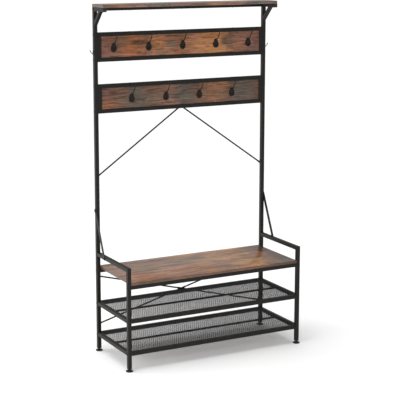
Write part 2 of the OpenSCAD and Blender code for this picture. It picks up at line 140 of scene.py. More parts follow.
class Shader:
    """One material, and short calls that add and wire its nodes."""

    def __init__(self, name):
        self.material = bpy.data.materials.new(name)
        self.material.use_nodes = True
        self.tree = self.material.node_tree
        self.bsdf = self.tree.nodes["Principled BSDF"]
        self.place = self.add("ShaderNodeTexCoord").outputs["Object"]

    def add(self, kind, **settings):
        """Adds a node with these settings."""
        node = self.tree.nodes.new(kind)
        for key, value in settings.items():
            setattr(node, key, value)
        return node

    def feed(self, socket, value):
        """Wires an output to an input, or writes a constant into it."""
        if isinstance(value, bpy.types.NodeSocket):
            self.tree.links.new(value, socket)
        else:
            socket.default_value = value

    def set(self, **values):
        """Feeds the shader's own sockets, named with _ for a space."""
        for key, value in values.items():
            self.feed(self.bsdf.inputs[key.replace("_", " ")], value)

    def colour(self, value):
        self.feed(self.bsdf.inputs["Base Color"], value)

    def noise(self, size, stretch=(1, 1, 1), shift=(0, 0, 0), detail=3, roughness=0.55, place=None):
        """Noise with blobs of about size metres, drawn out by stretch along each axis."""
        mapping = self.add("ShaderNodeMapping")
        self.feed(mapping.inputs["Vector"], place or self.place)
        self.feed(mapping.inputs["Location"], shift)
        self.feed(mapping.inputs["Scale"], [1 / (size * s) for s in stretch])
        node = self.add("ShaderNodeTexNoise")
        self.feed(node.inputs["Vector"], mapping.outputs["Vector"])
        self.feed(node.inputs["Scale"], 1)
        self.feed(node.inputs["Detail"], detail)
        self.feed(node.inputs["Roughness"], roughness)
        return node.outputs["Fac"]

    def math(self, operation, a, b=0.0, c=0.0):
        """One math node over up to three values."""
        node = self.add("ShaderNodeMath", operation=operation)
        for socket, value in zip(node.inputs, (a, b, c)):
            self.feed(socket, value)
        return node.outputs["Value"]

    def remap(self, value, low, high, to_low=0.0, to_high=1.0):
        """Straight-line remap from low..high, held at both ends."""
        node = self.add("ShaderNodeMapRange")
        self.feed(node.inputs["Value"], value)
        for key, number in (("From Min", low), ("From Max", high), ("To Min", to_low), ("To Max", to_high)):
            self.feed(node.inputs[key], number)
        return node.outputs["Result"]

    def ramp(self, value, stops):
        """Colour ramp over stops of (position, colour)."""
        node = self.add("ShaderNodeValToRGB")
        self.feed(node.inputs["Fac"], value)
        elements = node.color_ramp.elements
        while len(elements) < len(stops):
            elements.new(0.5)
        for element, (position, colour) in zip(elements, stops):
            element.position = position
            element.color = (*colour, 1)
        return node.outputs["Color"]

    def mix(self, factor, a, b, blend="MIX"):
        """Colour mix from a at 0 to b at 1."""
        node = self.add("ShaderNodeMix", data_type="RGBA", blend_type=blend)
        self.feed(node.inputs[0], factor)
        for socket, value in ((node.inputs[6], a), (node.inputs[7], b)):
            self.feed(socket, value)
        return node.outputs[2]

    def bump(self, height, depth, normal=None):
        """Bump of about depth metres from a height of 0 to 1."""
        node = self.add("ShaderNodeBump")
        self.feed(node.inputs["Strength"], 1)
        self.feed(node.inputs["Distance"], depth)
        self.feed(node.inputs["Height"], height)
        if normal:
            self.feed(node.inputs["Normal"], normal)
        self.feed(self.bsdf.inputs["Normal"], node.outputs["Normal"])

    def rounded(self, radius):
        """Normal of the surface with its edges rounded by radius."""
        node = self.add("ShaderNodeBevel", samples=4)
        self.feed(node.inputs["Radius"], radius)
        return node.outputs["Normal"]

    def edges(self, radius):
        """1 on outer and inner edges, 0 on flat faces."""
        dot = self.add("ShaderNodeVectorMath", operation="DOT_PRODUCT")
        self.feed(dot.inputs[0], self.rounded(radius))
        self.feed(dot.inputs[1], self.add("ShaderNodeNewGeometry").outputs["Normal"])
        return self.remap(dot.outputs["Value"], 0.995, 0.86)


def grey(level, warmth=0.0):
    """A grey, with red raised and blue lowered by warmth."""
    return (level * (1 + warmth), level, level * (1 - warmth))


def powder_coat(name, dark, light, worn, wear=0.4):
    """Baked black powder paint: fine orange peel, faint clouding, edges rubbed lighter."""
    shader = Shader(name)
    cloud = shader.noise(90 * MM, detail=4)
    base = shader.ramp(cloud, [(0.3, dark), (0.7, light)])
    speck = shader.remap(shader.noise(1.1 * MM, detail=2), 0.45, 0.75, 0, 0.3)
    base = shader.mix(speck, base, (*worn, 1))
    uneven = shader.remap(shader.noise(12 * MM, detail=4), 0.45, 0.7)
    rub = shader.math("MULTIPLY", shader.edges(1.2 * MM), uneven)
    shader.colour(shader.mix(shader.math("MULTIPLY", rub, wear), base, (*worn, 1)))
    shader.set(Roughness=shader.remap(cloud, 0.2, 0.8, 0.42, 0.56), Specular_IOR_Level=0.2)
    shader.bump(shader.noise(1.6 * MM, detail=2), 0.08 * MM, shader.rounded(0.5 * MM))
    return shader.material


def hook_paint(name):
    """Thick black-brown paint on cast metal, lighter brown where hands rub it."""
    shader = Shader(name)
    cloud = shader.noise(12 * MM, detail=5)
    base = shader.ramp(cloud, [(0.3, (0.008, 0.005, 0.004)), (0.75, (0.020, 0.013, 0.010))])
    uneven = shader.remap(shader.noise(6 * MM, detail=4), 0.4, 0.7)
    rub = shader.math("MULTIPLY", shader.edges(1 * MM), uneven)
    shader.colour(shader.mix(shader.math("MULTIPLY", rub, 0.5), base, (0.09, 0.055, 0.036, 1)))
    shader.set(Roughness=shader.remap(cloud, 0.2, 0.8, 0.36, 0.5), Specular_IOR_Level=0.22)
    shader.bump(shader.noise(1.4 * MM, detail=3), 0.1 * MM)
    return shader.material


def zinc_plate(name):
    """Bright zinc with a faint spangle and turning marks."""
    shader = Shader(name)
    spangle = shader.noise(3 * MM, detail=3)
    shader.colour(shader.ramp(spangle, [(0.3, grey(0.42)), (0.7, grey(0.6))]))
    shader.set(Roughness=shader.remap(spangle, 0.2, 0.8, 0.25, 0.42), Metallic=1.0)
    shader.bump(shader.noise(0.6 * MM, stretch=(1, 1, 6)), 0.04 * MM)
    return shader.material


def moulded_plastic(name):
    """Black plastic with a fine moulded grain, a little dusty."""
    shader = Shader(name)
    dust = shader.noise(10 * MM, detail=5)
    shader.colour(shader.ramp(dust, [(0.35, grey(0.009)), (0.8, grey(0.022))]))
    shader.set(Roughness=shader.remap(dust, 0.2, 0.8, 0.42, 0.6), Specular_IOR_Level=0.4)
    shader.bump(shader.noise(0.5 * MM, detail=2), 0.06 * MM, shader.rounded(0.4 * MM))
    return shader.material


def black_oxide(name):
    """Blackened steel, worn to a dull shine on the edges."""
    shader = Shader(name)
    cloud = shader.noise(4 * MM, detail=4)
    base = shader.ramp(cloud, [(0.3, grey(0.008)), (0.75, grey(0.02))])
    shader.colour(shader.mix(shader.math("MULTIPLY", shader.edges(0.6 * MM), 0.4), base, (*grey(0.12), 1)))
    shader.set(Roughness=shader.remap(cloud, 0.2, 0.8, 0.34, 0.5), Metallic=0.4)
    shader.bump(shader.noise(0.4 * MM, detail=2), 0.03 * MM)
    return shader.material


# Tones of the printed wood, from the dark and cool ones to the warm ones
TONE = {
    "umber": (0.055, 0.034, 0.026),
    "slate": (0.120, 0.108, 0.090),
    "olive": (0.140, 0.105, 0.062),
    "brown": (0.180, 0.098, 0.062),
    "mauve": (0.175, 0.088, 0.074),
    "rose": (0.270, 0.150, 0.112),
    "rust": (0.300, 0.118, 0.050),
    "tan": (0.330, 0.165, 0.088),
    "gold": (0.460, 0.235, 0.098),
}


# Middle value of the noise that bends the print's tones and patches
BEND_MIDDLE = 0.17


def paint_patches(shader, base, along, over, bend, patches):
    """Soft-edged patches drawn out along the grain, and how far the dark ones push the grain aside."""
    swirl = None
    for p_along, p_over, half_length, half_breadth, tone, strength in patches:
        dx = shader.math("MULTIPLY", shader.math("SUBTRACT", along, p_along), 1 / half_length)
        dv = shader.math("MULTIPLY", shader.math("SUBTRACT", over, p_over), 1 / half_breadth)
        reach = shader.math("SQRT", shader.math("MULTIPLY_ADD", dx, dx, shader.math("MULTIPLY", dv, dv)))
        reach = shader.math("MULTIPLY_ADD", bend, 6.0, reach)
        base = shader.mix(shader.remap(reach, 0.45, 1.15, strength, 0), base, (*TONE[tone], 1))
        if tone == "umber":
            ring = shader.remap(reach, 0.6, 2.2, 6 * MM, 0)
            swirl = ring if swirl is None else shader.math("ADD", swirl, ring)
    return base, swirl


def paint_flecks(shader, base):
    """Weathered and warm flecks."""
    fleck = shader.noise(8 * MM, stretch=(7, 1, 1), detail=5, roughness=0.65, shift=(5, 3, 2))
    base = shader.mix(shader.remap(fleck, 0.54, 0.66, 0, 0.55), base, (*TONE["slate"], 1))
    warm = shader.noise(7 * MM, stretch=(9, 1, 1), detail=4, shift=(1, 9, 6))
    return shader.mix(shader.remap(warm, 0.56, 0.68, 0, 0.5), base, (*TONE["tan"], 1))


def bent_place(shader, place, across, swirl):
    """The place, moved across the grain by a slow wave and by the knots; place is split into X, Y and Z."""
    wave = shader.noise(70 * MM, stretch=(3, 1, 1), detail=2, shift=(1, 7, 4))
    wave = shader.math("MULTIPLY", wave, 30 * MM)
    offset = wave if swirl is None else shader.math("ADD", wave, swirl)
    bent = shader.add("ShaderNodeCombineXYZ")
    for letter in "XYZ":
        value = place[letter]
        shader.feed(bent.inputs[letter], shader.math("ADD", value, offset) if letter == across else value)
    return bent.outputs["Vector"]


def paint_grain(shader, base, place, blotch, coarse):
    """Broad streaks, dark veins, fine lines, pores and saw marks, and the three noises used again later."""
    broad = shader.noise(7.5 * MM * coarse, (14, 1, 1), detail=5, roughness=0.66, place=place)
    line = shader.noise(2.8 * MM * coarse, (26, 1, 1), (2, 2, 5), detail=4, roughness=0.7, place=place)
    pore = shader.noise(0.9 * MM, (30, 1, 1), detail=3, roughness=0.7, place=place)
    streaks = [(0.36, grey(0.36, 0.05)), (0.47, grey(0.9)), (0.58, grey(1.15)), (0.7, grey(1.45, 0.04))]
    base = shader.mix(1.0, base, shader.ramp(broad, streaks), "MULTIPLY")

    vein = shader.noise(18 * MM * coarse, (8, 1, 1), (7, 1, 3), detail=5, roughness=0.6, place=place)
    vein = shader.math("ABSOLUTE", shader.math("SUBTRACT", vein, 0.5))
    vein = shader.remap(vein, 0.0, 0.03, 0.85, 0)
    vein = shader.math("MULTIPLY", vein, shader.remap(blotch, 0.4, 0.62, 0.25, 1))
    base = shader.mix(vein, base, (*TONE["umber"], 1))

    lines = shader.ramp(line, [(0.34, grey(0.45, 0.06)), (0.46, grey(0.95)), (0.7, grey(1.22, 0.02))])
    base = shader.mix(0.8, base, lines, "MULTIPLY")
    pores = shader.ramp(pore, [(0.36, grey(0.55, 0.05)), (0.5, grey(1.0)), (0.8, grey(1.15))])
    base = shader.mix(0.7, base, pores, "MULTIPLY")
    saw = shader.noise(2.2 * MM, stretch=(1, 7, 7), detail=2, shift=(9, 0, 0))
    base = shader.mix(0.28, base, shader.ramp(saw, [(0.35, grey(0.7)), (0.65, grey(1.22))]), "MULTIPLY")
    return base, broad, line, pore


def paint_plank_end(shader, base, relief, x, seam_x):
    """A thin dark joint with a pale edge, cut into the relief."""
    near = shader.math("ABSOLUTE", shader.math("SUBTRACT", x, seam_x))
    joint = shader.remap(near, 0.6 * MM, 1.4 * MM, 1, 0)
    base = shader.mix(shader.remap(near, 2.5 * MM, 6 * MM, 0.45, 0), base, (*TONE["rose"], 1))
    base = shader.mix(shader.math("MULTIPLY", joint, 0.6), base, (*TONE["umber"], 1))
    return base, shader.math("SUBTRACT", relief, joint)


def paint_edges(shader, base, long_edge_shade):
    """Painted shade: darker bands on the short end faces, and on the front and back edge faces by the given
    amount; corners rubbed paler.
    """
    facing = shader.add("ShaderNodeSeparateXYZ")
    shader.feed(facing.inputs[0], shader.add("ShaderNodeNewGeometry").outputs["True Normal"])
    # Painted shade: faces looking along X (the ends) darken by 0.85, faces looking along Y by the edge shade
    for letter, dark in (("X", 0.85), ("Y", long_edge_shade)):
        painted_shade = shader.remap(shader.math("ABSOLUTE", facing.outputs[letter]), 0.8, 0.95, 0, dark)
        base = shader.mix(painted_shade, base, (*TONE["umber"], 1))
    uneven = shader.remap(shader.noise(20 * MM, detail=4), 0.35, 0.65)
    rub = shader.math("MULTIPLY", shader.edges(1.2 * MM), uneven)
    return shader.mix(shader.math("MULTIPLY", rub, 0.35), base, (*TONE["rose"], 1))


def rustic_wood(name, low, high, across, lift, gloss, coarse, long_edge_shade, tones, seams, patches):
    """Woodgrain laminate with its grain along X, over the board's box from low to high.

    across is the board's other axis, Y or Z. lift multiplies the colours at the end, and on the seat it also
    paints in part of the sheen of its top. gloss is the pair (specular level, mean roughness), coarse scales
    the grain, and the edge shade is how much painted shade darkens the front and back edges. tones lists
    (place along the board from 0 to 1, tone), and seams the places of the plank ends.
    patches lists (place along, place across, half length, half breadth, tone, strength).
    """
    shader = Shader(name)
    split = shader.add("ShaderNodeSeparateXYZ")
    shader.feed(split.inputs[0], shader.place)
    place = split.outputs
    axis = "XYZ".index(across)
    along = shader.remap(place["X"], low.x, high.x)
    over = shader.remap(place[across], low[axis], high[axis])

    # The tone drifts along the board, bent by streaky blotches
    blotch = shader.noise(30 * MM, stretch=(3, 1, 1), detail=6, roughness=0.62)
    streaky = shader.noise(11 * MM, stretch=(9, 1, 1), detail=5, roughness=0.6, shift=(3, 1, 2))
    bend = shader.math("MULTIPLY_ADD", blotch, 0.22, shader.math("MULTIPLY", streaky, 0.12))
    bend = shader.math("SUBTRACT", bend, BEND_MIDDLE)
    base = shader.ramp(shader.math("ADD", along, bend), [(at, TONE[tone]) for at, tone in tones])

    base, swirl = paint_patches(shader, base, along, over, bend, patches)
    base = paint_flecks(shader, base)
    bent = bent_place(shader, place, across, swirl)
    base, broad, line, pore = paint_grain(shader, base, bent, blotch, coarse)
    relief = shader.math("MULTIPLY_ADD", pore, 0.6, shader.math("MULTIPLY", line, 0.4))
    for seam in seams:
        base, relief = paint_plank_end(shader, base, relief, place["X"], low.x + seam * (high.x - low.x))
    # Painted shade on the board's end faces and on its front and back edge faces
    base = paint_edges(shader, base, long_edge_shade)
    # lift tints each board; on the seat it is raised and paled to paint in part of the sheen of its top
    shader.colour(shader.mix(1.0, base, (*lift, 1), "MULTIPLY"))
    level, rough = gloss
    shader.set(Roughness=shader.remap(broad, 0.3, 0.7, rough + 0.06, rough - 0.06), Specular_IOR_Level=level)
    shader.bump(relief, 0.12 * MM)
    return shader.material


BOARD_LOOKS = {
    "upper_panel_board": dict(
        across="Z",
        lift=(1.25, 1.08, 0.95),
        gloss=(0.3, 0.46),
        coarse=1,
        long_edge_shade=0,
        tones=[(0.0, "mauve"), (0.10, "brown"), (0.19, "rust"), (0.27, "brown"), (0.36, "tan"),
               (0.46, "brown"), (0.56, "tan"), (0.64, "gold"), (0.74, "gold"), (0.80, "brown"),
               (0.88, "rose"), (1.0, "mauve")],
        seams=[0.285],
        patches=[(0.04, 0.5, 0.05, 0.9, "mauve", 0.7), (0.20, 0.25, 0.09, 0.32, "rust", 0.8),
                 (0.22, 0.64, 0.06, 0.13, "umber", 0.85), (0.12, 0.85, 0.07, 0.15, "olive", 0.6),
                 (0.34, 0.55, 0.05, 0.5, "gold", 0.5), (0.36, 0.1, 0.05, 0.14, "slate", 0.6),
                 (0.43, 0.5, 0.035, 0.22, "slate", 0.85), (0.47, 0.16, 0.05, 0.14, "rust", 0.6),
                 (0.56, 0.85, 0.05, 0.14, "rose", 0.6), (0.77, 0.58, 0.03, 0.2, "umber", 0.8),
                 (0.80, 0.7, 0.03, 0.2, "olive", 0.8), (0.86, 0.3, 0.06, 0.3, "rust", 0.4)],
    ),
    "lower_panel_board": dict(
        across="Z",
        lift=(0.96, 0.90, 0.86),
        gloss=(0.3, 0.46),
        coarse=1,
        long_edge_shade=0,
        tones=[(0.0, "mauve"), (0.1, "brown"), (0.2, "slate"), (0.3, "brown"), (0.42, "rose"),
               (0.52, "slate"), (0.6, "brown"), (0.7, "tan"), (0.8, "brown"), (0.88, "slate"),
               (1.0, "brown")],
        seams=[0.61],
        patches=[(0.02, 0.15, 0.08, 0.3, "rust", 0.8), (0.07, 0.72, 0.03, 0.2, "umber", 0.6),
                 (0.28, 0.4, 0.09, 0.3, "slate", 0.7), (0.5, 0.55, 0.06, 0.4, "slate", 0.8),
                 (0.74, 0.8, 0.09, 0.25, "tan", 0.6), (0.9, 0.55, 0.09, 0.4, "slate", 0.7)],
    ),
    "seat_board": dict(
        across="Y",
        # Raised and paled partly to paint in the light sheen of the seat's top, partly to match its colour
        lift=(1.44, 1.41, 1.29),
        gloss=(0.34, 0.3),
        coarse=2.2,
        # Painted shade on the seat's front and back edge faces
        long_edge_shade=0.75,
        tones=[(0.0, "rose"), (0.12, "brown"), (0.25, "rose"), (0.38, "rose"), (0.5, "tan"),
               (0.6, "rose"), (0.7, "tan"), (0.8, "gold"), (0.88, "brown"), (0.98, "umber")],
        seams=[],
        patches=[(0.1, 0.2, 0.12, 0.2, "rust", 0.5), (0.42, 0.6, 0.12, 0.14, "slate", 0.5),
                 (0.30, 0.85, 0.2, 0.12, "slate", 0.5), (0.55, 0.25, 0.12, 0.1, "umber", 0.5),
                 (0.34, 0.36, 0.12, 0.08, "rust", 0.6), (0.6, 0.75, 0.14, 0.14, "slate", 0.8),
                 (0.74, 0.22, 0.1, 0.12, "gold", 0.7), (0.8, 0.5, 0.05, 0.16, "umber", 0.5),
                 (0.91, 0.5, 0.04, 0.3, "rust", 0.8), (1.0, 0.45, 0.09, 0.7, "umber", 0.8),
                 (0.66, 0.7, 0.1, 0.2, "gold", 0.6), (0.2, 0.55, 0.1, 0.2, "olive", 0.5)],
    ),
    "top_shelf_board": dict(
        across="Y",
        lift=(1.0, 0.95, 0.92),
        gloss=(0.7, 0.32),
        coarse=1,
        long_edge_shade=0,
        tones=[(0.0, "brown"), (0.1, "rust"), (0.2, "rose"), (0.33, "slate"), (0.45, "rose"),
               (0.56, "brown"), (0.66, "tan"), (0.78, "tan"), (0.88, "slate"), (1.0, "brown")],
        seams=[0.3],
        patches=[(0.2, 0.3, 0.06, 0.4, "rust", 0.6), (0.6, 0.6, 0.05, 0.3, "umber", 0.4)],
    ),
}


def make_materials():
    """The materials by the record's slot name; each board has its own print."""
    frame_tones = (grey(0.006, 0.12), grey(0.010, 0.12), grey(0.05, 0.08))
    mesh_tones = (grey(0.012, 0.02), grey(0.018, 0.02), grey(0.06, 0.03))
    made = {
        "black_frame": powder_coat("frame_powder_coat", *frame_tones),
        "shelf_mesh": powder_coat("mesh_powder_coat", *mesh_tones),
        "hook_metal": hook_paint("hook_paint"),
        "black_fasteners": black_oxide("black_oxide"),
        "zinc_steel": zinc_plate("zinc_plate"),
        "black_plastic": moulded_plastic("moulded_plastic"),
    }
    for board, look in BOARD_LOOKS.items():
        made[board] = rustic_wood(f"wood_{board}", *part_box(board), **look)
    return made


# ---------- mesh building ----------


def add_piece(name, shape, slot, body="frame", material=None, smooth_angle=40, stands_for=()):
    """A mesh piece in the frame's own place, with its slot's material, riding on a body."""
    data = shape if isinstance(shape, bpy.types.Mesh) else shape.mesh(name, smooth_angle)
    if not data.materials:
        data.materials.append(material or materials[slot])
    piece = bpy.data.objects.new(name, data)
    scene.collection.objects.link(piece)
    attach(piece, body)
    if stands_for:
        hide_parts(*stands_for)
    return piece


def circle_ring(radius, height, sides, matrix):
    """Points on a circle round the matrix's Z, at one height."""
    turn = [2 * math.pi * k / sides for k in range(sides)]
    return [matrix @ Vector((radius * math.cos(t), radius * math.sin(t), height)) for t in turn]


class Shape:
    """Vertices and faces gathered from several closed solids."""

    def __init__(self):
        self.vertices = []
        self.faces = []

    def mesh(self, name, smooth_angle=40):
        """The solids as one mesh, smooth up to this angle in degrees."""
        data = bpy.data.meshes.new(name)
        data.from_pydata([tuple(v) for v in self.vertices], [], self.faces)
        data.validate()
        data.shade_smooth()
        data.set_sharp_from_angle(angle=math.radians(smooth_angle))
        return data

    def rings(self, rings, close_ends=True):
        """Skin over rings of equally many points. A loop of rings is closed by leaving close_ends off."""
        start, count = len(self.vertices), len(rings[0])
        for ring in rings:
            self.vertices.extend(Vector(p) for p in ring)
        last = len(rings) - 1 if close_ends else len(rings)
        for i in range(last):
            a, b = start + i * count, start + (i + 1) % len(rings) * count
            for j in range(count):
                k = (j + 1) % count
                self.faces.append((a + j, a + k, b + k, b + j))
        if close_ends:
            end = start + (len(rings) - 1) * count
            self.faces.append(tuple(start + j for j in reversed(range(count))))
            self.faces.append(tuple(end + j for j in range(count)))

    def sweep(self, path, radii, sides=12, closed=False):
        """Round tube along path with a radius at each point."""
        rings, up = [], None
        for i, point in enumerate(path):
            before = path[i - 1] if i or closed else point
            after = path[(i + 1) % len(path)] if i + 1 < len(path) or closed else point
            along = (Vector(after) - Vector(before)).normalized()
            if up is None:
                up = along.orthogonal().normalized()
            up = (up - up.dot(along) * along).normalized()
            side = along.cross(up)
            turn = [2 * math.pi * k / sides for k in range(sides)]
            rings.append([Vector(point) + radii[i] * (math.cos(t) * up + math.sin(t) * side) for t in turn])
        self.rings(rings, close_ends=not closed)

    def lathe(self, profile, matrix, sides=32):
        """Solid of revolution: profile is a list of (radius, height) along the matrix's Z."""
        self.rings([circle_ring(radius, height, sides, matrix) for radius, height in profile])

    def slab(self, outline, layers, matrix):
        """Stack of outlines: layers lists (inset, height) and outline gives the points for an inset."""
        rings = []
        for inset, height in layers:
            rings.append([matrix @ Vector((x, y, height)) for x, y in outline(inset)])
        self.rings(rings)


def islands(node):
    """The separate solids of a CAD node, each as a list of its vertices' places."""
    mesh = nodes[node].data
    places = {}
    merged = [places.setdefault(tuple(round(c, 6) for c in v.co), len(places)) for v in mesh.vertices]
    root = list(range(len(places)))

    def find(i):
        while root[i] != i:
            root[i] = root[root[i]]
            i = root[i]
        return i

    for polygon in mesh.polygons:
        first = find(merged[polygon.vertices[0]])
        for v in polygon.vertices[1:]:
            root[find(merged[v])] = first
    groups = {}
    for place, index in places.items():
        groups.setdefault(find(index), []).append(Vector(place))
    return list(groups.values())


def frame_along(origin, direction):
    """Matrix whose Z looks along direction from origin."""
    turn = Vector(direction).to_track_quat("Z", "Y").to_matrix().to_4x4()
    return Matrix.Translation(origin) @ turn


# ---------- pieces ----------

def plane(origin, across, up):
    """Matrix of a plane whose X is across, Y is up, and Z is their cross product."""
    return Matrix.Translation(origin) @ Matrix((across, up, across.cross(up))).transposed().to_4x4()


def smooth_step(value, low, high):
    """0 up to low, 1 from high, and an S curve between them."""
    t = min(1.0, max(0.0, (value - low) / (high - low)))
    return t * t * (3 - 2 * t)


def pill(low_r, low_at, high_r, high_at, steps=14):
    """Outline, as a function of its inset, of two circles on the plane's Y axis and their tangents."""
    lean = math.asin((low_r - high_r) / (high_at - low_at))
    arcs = ((low_r, low_at, math.pi - lean, 2 * math.pi + lean), (high_r, high_at, lean, math.pi - lean))

    def outline(inset):
        points = []
        for radius, at, start, end in arcs:
            for k in range(steps + 1):
                t = start + (end - start) * k / steps
                points.append(((radius - inset) * math.cos(t), at + (radius - inset) * math.sin(t)))
        return points

    return outline


def rounded_box(width, height, corner, steps=4):
    """Outline, as a function of its inset, of a rectangle with round corners and one corner at 0, 0."""

    def outline(inset):
        points = []
        radius = max(corner - inset, 0.1 * MM)
        for turn, (sx, sy) in enumerate(((1, 0), (1, 1), (0, 1), (0, 0))):
            cx = width - inset - radius if sx else inset + radius
            cy = height - inset - radius if sy else inset + radius
            for k in range(steps + 1):
                t = math.pi / 2 * (turn - 1 + k / steps)
                points.append((cx + radius * math.cos(t), cy + radius * math.sin(t)))
        return points

    return outline


BOARD_CORNER = 1.2 * MM


def add_boards():
    """Boards with softened edges and the fine groove where the top laminate meets the edge band."""
    for node in BOARD_LOOKS:
        low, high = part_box(node)
        size = high - low
        shape = Shape()
        upright = node.endswith("panel_board")
        thick, breadth = (size.y, size.z) if upright else (size.z, size.y)
        bottom = [(1.0, 0), (0.35, 0.25), (0.1, 0.6), (0, 1.1)]
        groove = [(0, -1.25), (0.22, -1.1), (0.22, -0.95), (0, -0.8), (0, -0.55), (0.12, -0.25), (0.45, 0)]
        layers = [(inset * MM, at * MM) for inset, at in bottom]
        layers += [(inset * MM, thick + at * MM) for inset, at in groove]
        origin = Vector((low.x, high.y, low.z)) if upright else low
        face = plane(origin, X_AXIS, Z_AXIS if upright else Y_AXIS)
        shape.slab(rounded_box(size.x, breadth, BOARD_CORNER), layers, face)
        add_piece("laminated_" + node, shape, slot_of[node], material=materials[node], stands_for=[node])


ROD_R = 4 * MM
TAB_R = 6 * MM
TAB_T = 2.5 * MM
CROSSING_R = 5 * MM
# Where a rod's section changes, from its end and from the crossing
END_TAPER = (7 * MM, 24 * MM)
CROSSING_TAPER = (15 * MM, 25 * MM)
# Node, whether it rises to the right, how far each end tab lies behind the node's front, and its side of the
# crossing: -1 the front, 1 the back, 0 without one
BACK_RODS = (("left_v_brace", True, (0, 0), 0), ("right_v_brace", False, (TAB_T, 0), 0),
             ("rising_x_brace", True, (0, 0), -1), ("falling_x_brace", False, (0, 0), 1))
# Places of the sections, from a rod's end and from its middle, closer together where it changes
END_MARKS = (-5.9, -5.5, -4.6, -3.2, -1.5, 0, 4, 8, 10, 12, 14, 16, 18, 20, 22, 25)
MIDDLE_MARKS = (-26, -24, -22, -20, -18, -15, -8, 0, 8, 15, 18, 20, 22, 24, 26)


def rod_section(at, length, depth, lifts, side):
    """(half width, half thickness, middle, flatness) of a rod at one place.

    The middle is a depth behind the node's front, and the argument depth is that of the round part's middle.
    """
    reach = min(at, length - at)
    roundness = smooth_step(reach, *END_TAPER)
    half_width = TAB_R + (ROD_R - TAB_R) * roundness
    if reach < 0:
        half_width = math.sqrt(TAB_R ** 2 - reach ** 2)
    half_thick = TAB_T / 2 + (ROD_R - TAB_T / 2) * roundness
    tab_middle = lifts[0 if at < length / 2 else 1] + TAB_T / 2
    middle = tab_middle + (depth - tab_middle) * roundness
    flatness = 1 - roundness
    if side:
        pressed = 1 - smooth_step(abs(at - length / 2), *CROSSING_TAPER)
        half_width += (CROSSING_R - ROD_R) * pressed
        half_thick += (TAB_T / 2 - ROD_R) * pressed
        middle += side * TAB_T / 2 * pressed
        flatness = max(flatness, pressed)
    return half_width, half_thick, middle, flatness


def add_back_rods():
    """Round brace rods, pressed flat at the ends, and at the middle where two of them cross."""
    for node, rising, lifts, side in BACK_RODS:
        low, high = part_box(node)
        from_z, to_z = (low.z, high.z) if rising else (high.z, low.z)
        inset = TAB_R if rising else -TAB_R
        start = Vector((low.x + TAB_R, low.y, from_z + inset))
        end = Vector((high.x - TAB_R, low.y, to_z - inset))
        length = (end - start).length
        along = (end - start) / length
        sideways = Y_AXIS.cross(along)
        depth = high.y - low.y - ROD_R
        stations = [m * MM for m in END_MARKS]
        if side:
            stations += [length / 2 + m * MM for m in MIDDLE_MARKS]
        stations += [length - m * MM for m in reversed(END_MARKS)]
        rings = []
        for at in stations:
            half_width, half_thick, middle, flatness = rod_section(at, length, depth, lifts, side)
            power = 2 / (2 + 5 * flatness)
            ring = []
            for k in range(20):
                c, q = math.cos(math.pi * k / 10), math.sin(math.pi * k / 10)
                wide = half_width * math.copysign(abs(c) ** power, c)
                deep = half_thick * math.copysign(abs(q) ** power, q)
                ring.append(start + along * at + sideways * wide + Y_AXIS * (middle + deep))
            rings.append(ring)
        shape = Shape()
        shape.rings(rings)
        add_piece("forged_" + node, shape, slot_of[node], stands_for=[node])


STRIP_R = 10 * MM


def add_side_strips():
    """Flat strips with round ends and broken edges."""
    for side, node in ((-1, "left_side_brace"), (1, "right_side_brace")):
        low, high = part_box(node)
        thick = high.x - low.x
        inner = low.x if side > 0 else high.x
        top = Vector((inner, high.y - STRIP_R, high.z - STRIP_R))
        foot = Vector((inner, low.y + STRIP_R, low.z + STRIP_R))
        down = (foot - top).normalized()
        layers = [(0.5 * MM, 0), (0, 0.4 * MM), (0, thick - 0.4 * MM), (0.5 * MM, thick)]
        shape = Shape()
        outline = pill(STRIP_R, 0, STRIP_R, (foot - top).length)
        shape.slab(outline, layers, plane(top, down.cross(X_AXIS * side), down))
        add_piece("strip_" + node, shape, slot_of[node], stands_for=[node])


def cast(shape, name, voxel):
    """One skin over the overlapping solids of a shape, with small fillets where they meet."""
    data = shape.mesh(name)
    work = bpy.data.objects.new(name, data)
    scene.collection.objects.link(work)
    remesh = work.modifiers.new("skin", "REMESH")
    remesh.mode = "VOXEL"
    remesh.voxel_size = voxel
    ease = work.modifiers.new("ease", "SMOOTH")
    ease.factor = 0.5
    ease.iterations = 5
    bpy.context.view_layer.update()
    skin = bpy.data.meshes.new_from_object(work.evaluated_get(bpy.context.evaluated_depsgraph_get()))
    bpy.data.objects.remove(work)
    skin.shade_smooth()
    return skin


def arm_path(radius, start, end, root, steps):
    """Arc in the Y-Z plane that leaves root at the slope start and ends at the slope end, in degrees."""
    turns = [math.radians(start + (end - start) * k / steps) for k in range(steps + 1)]
    first = turns[0]
    return [Vector((0, -root[0] - radius * (math.sin(t) - math.sin(first)),
                    root[1] + radius * (math.cos(first) - math.cos(t)))) for t in turns]


def flared(path, radius, flare, reach):
    """Wire radius at each point of the path: wider by flare at the root, within about reach of it."""
    along, radii = 0.0, []
    for i, point in enumerate(path):
        along += (point - path[i - 1]).length if i else 0
        radii.append(radius + flare * math.exp(-((along / reach) ** 2)))
    return radii


def ball(shape, place, radius):
    """A ball whose poles are tiny circles."""
    turns = [math.pi * k / 10 for k in range(11)]
    profile = [(max(radius * math.sin(t), 1e-5), -radius * math.cos(t)) for t in turns]
    shape.lathe(profile, Matrix.Translation(place), sides=20)


# How far each casting's own origin stands above the foot of its CAD box
COAT_HOOK_LIFT = 23.5 * MM
SIDE_HOOK_LIFT = 15 * MM


